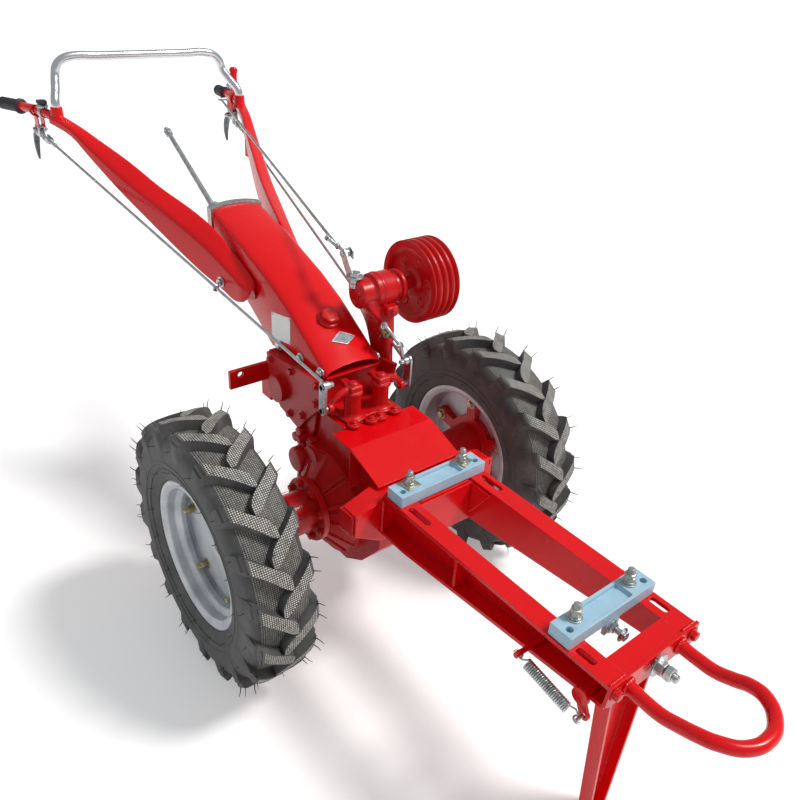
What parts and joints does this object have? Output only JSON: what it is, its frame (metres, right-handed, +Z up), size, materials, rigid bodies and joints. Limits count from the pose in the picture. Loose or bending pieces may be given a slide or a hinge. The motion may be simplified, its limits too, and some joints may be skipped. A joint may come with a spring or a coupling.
{
  "type": "walk-behind tractor",
  "caption": "Walk-behind tractor chassis without its engine: lugged drive wheels, gearbox, belt clutch, handlebars and a front frame on a parking stand.",
  "frame": {"origin": "bottom centre of the bounding box, on the ground under the middle of the machine", "axes": "+X forwards to the front loop, +Y to the machine's left, +Z up"},
  "size_m": [2.3069, 0.882, 1.1135],
  "materials": {
    "red_paint": "gloss",
    "red_casting": "satin",
    "tyre_rubber": "matte",
    "rim_silver": "satin",
    "zinc_steel": "satin",
    "grey_lever": "satin",
    "chrome_tube": "polished",
    "grip_rubber": "matte",
    "blue_plate": "satin",
    "blank_plate": "satin"
  },
  "bodies": {
    "chassis": {"final_drive_case": "red_casting", "gearbox_case": "red_casting", "gearbox_side_covers": "red_casting", "steering_turrets": "red_casting", "handlebar_hood": "red_paint", "hood_rear_cover": "zinc_steel", "data_plate": "blank_plate", "filler_plug": "red_paint", "gear_lever": "zinc_steel", "handle_arm_right": "red_paint", "handle_arm_left": "red_paint", "handle_grip_right": "grip_rubber", "handle_grip_left": "grip_rubber", "cross_tube": "chrome_tube", "steering_lever_right": "grey_lever", "steering_lever_left": "grey_lever", "steering_rod_right": "zinc_steel", "steering_rod_left": "zinc_steel", "steering_link_right": "zinc_steel", "steering_link_left": "zinc_steel", "clutch_lever": "red_paint", "clutch_rods": "zinc_steel", "throttle_lever": "grip_rubber", "clutch_housing": "red_casting", "clutch_bellcrank": "zinc_steel", "frame_rail_right": "red_paint", "frame_rail_left": "red_paint", "frame_cross_plate": "red_paint", "frame_bolster": "red_paint", "front_crossmember": "red_paint", "front_plate": "red_paint", "mount_plate_rear": "blue_plate", "mount_plate_front": "blue_plate", "mount_studs": "zinc_steel", "guard_plate": "red_paint", "front_loop": "red_paint", "tension_screw": "zinc_steel", "stand_spring": "zinc_steel", "tow_bracket": "red_paint"},
    "wheel_right": {"tyre_right": "tyre_rubber", "rim_right": "rim_silver", "wheel_hub_right": "red_casting", "axle_shaft_right": "zinc_steel", "wheel_bolts_right": "zinc_steel"},
    "wheel_left": {"tyre_left": "tyre_rubber", "rim_left": "rim_silver", "wheel_hub_left": "red_casting", "axle_shaft_left": "zinc_steel", "wheel_bolts_left": "zinc_steel"},
    "pulley": {"clutch_pulley": "red_casting"},
    "stand": {"parking_stand": "red_paint", "stand_shaft": "red_paint"}
  },
  "joints": [
    {"name": "wheel_right_spin", "type": "hinge", "parent": "chassis", "child": "wheel_right", "pos_m": [0.1485, -0.37, 0.295], "axis": [0, 1, 0], "continuous": true},
    {"name": "wheel_left_spin", "type": "hinge", "parent": "chassis", "child": "wheel_left", "pos_m": [0.1485, 0.37, 0.295], "axis": [0, 1, 0], "continuous": true},
    {"name": "clutch_pulley_spin", "type": "hinge", "parent": "chassis", "child": "pulley", "pos_m": [0.0345, 0.237, 0.735], "axis": [0, 1, 0], "continuous": true},
    {"name": "parking_stand_fold", "type": "hinge", "parent": "chassis", "child": "stand", "pos_m": [0.9085, 0, 0.419], "axis": [0, 1, 0], "range_deg": [0, 86]}
  ]
}
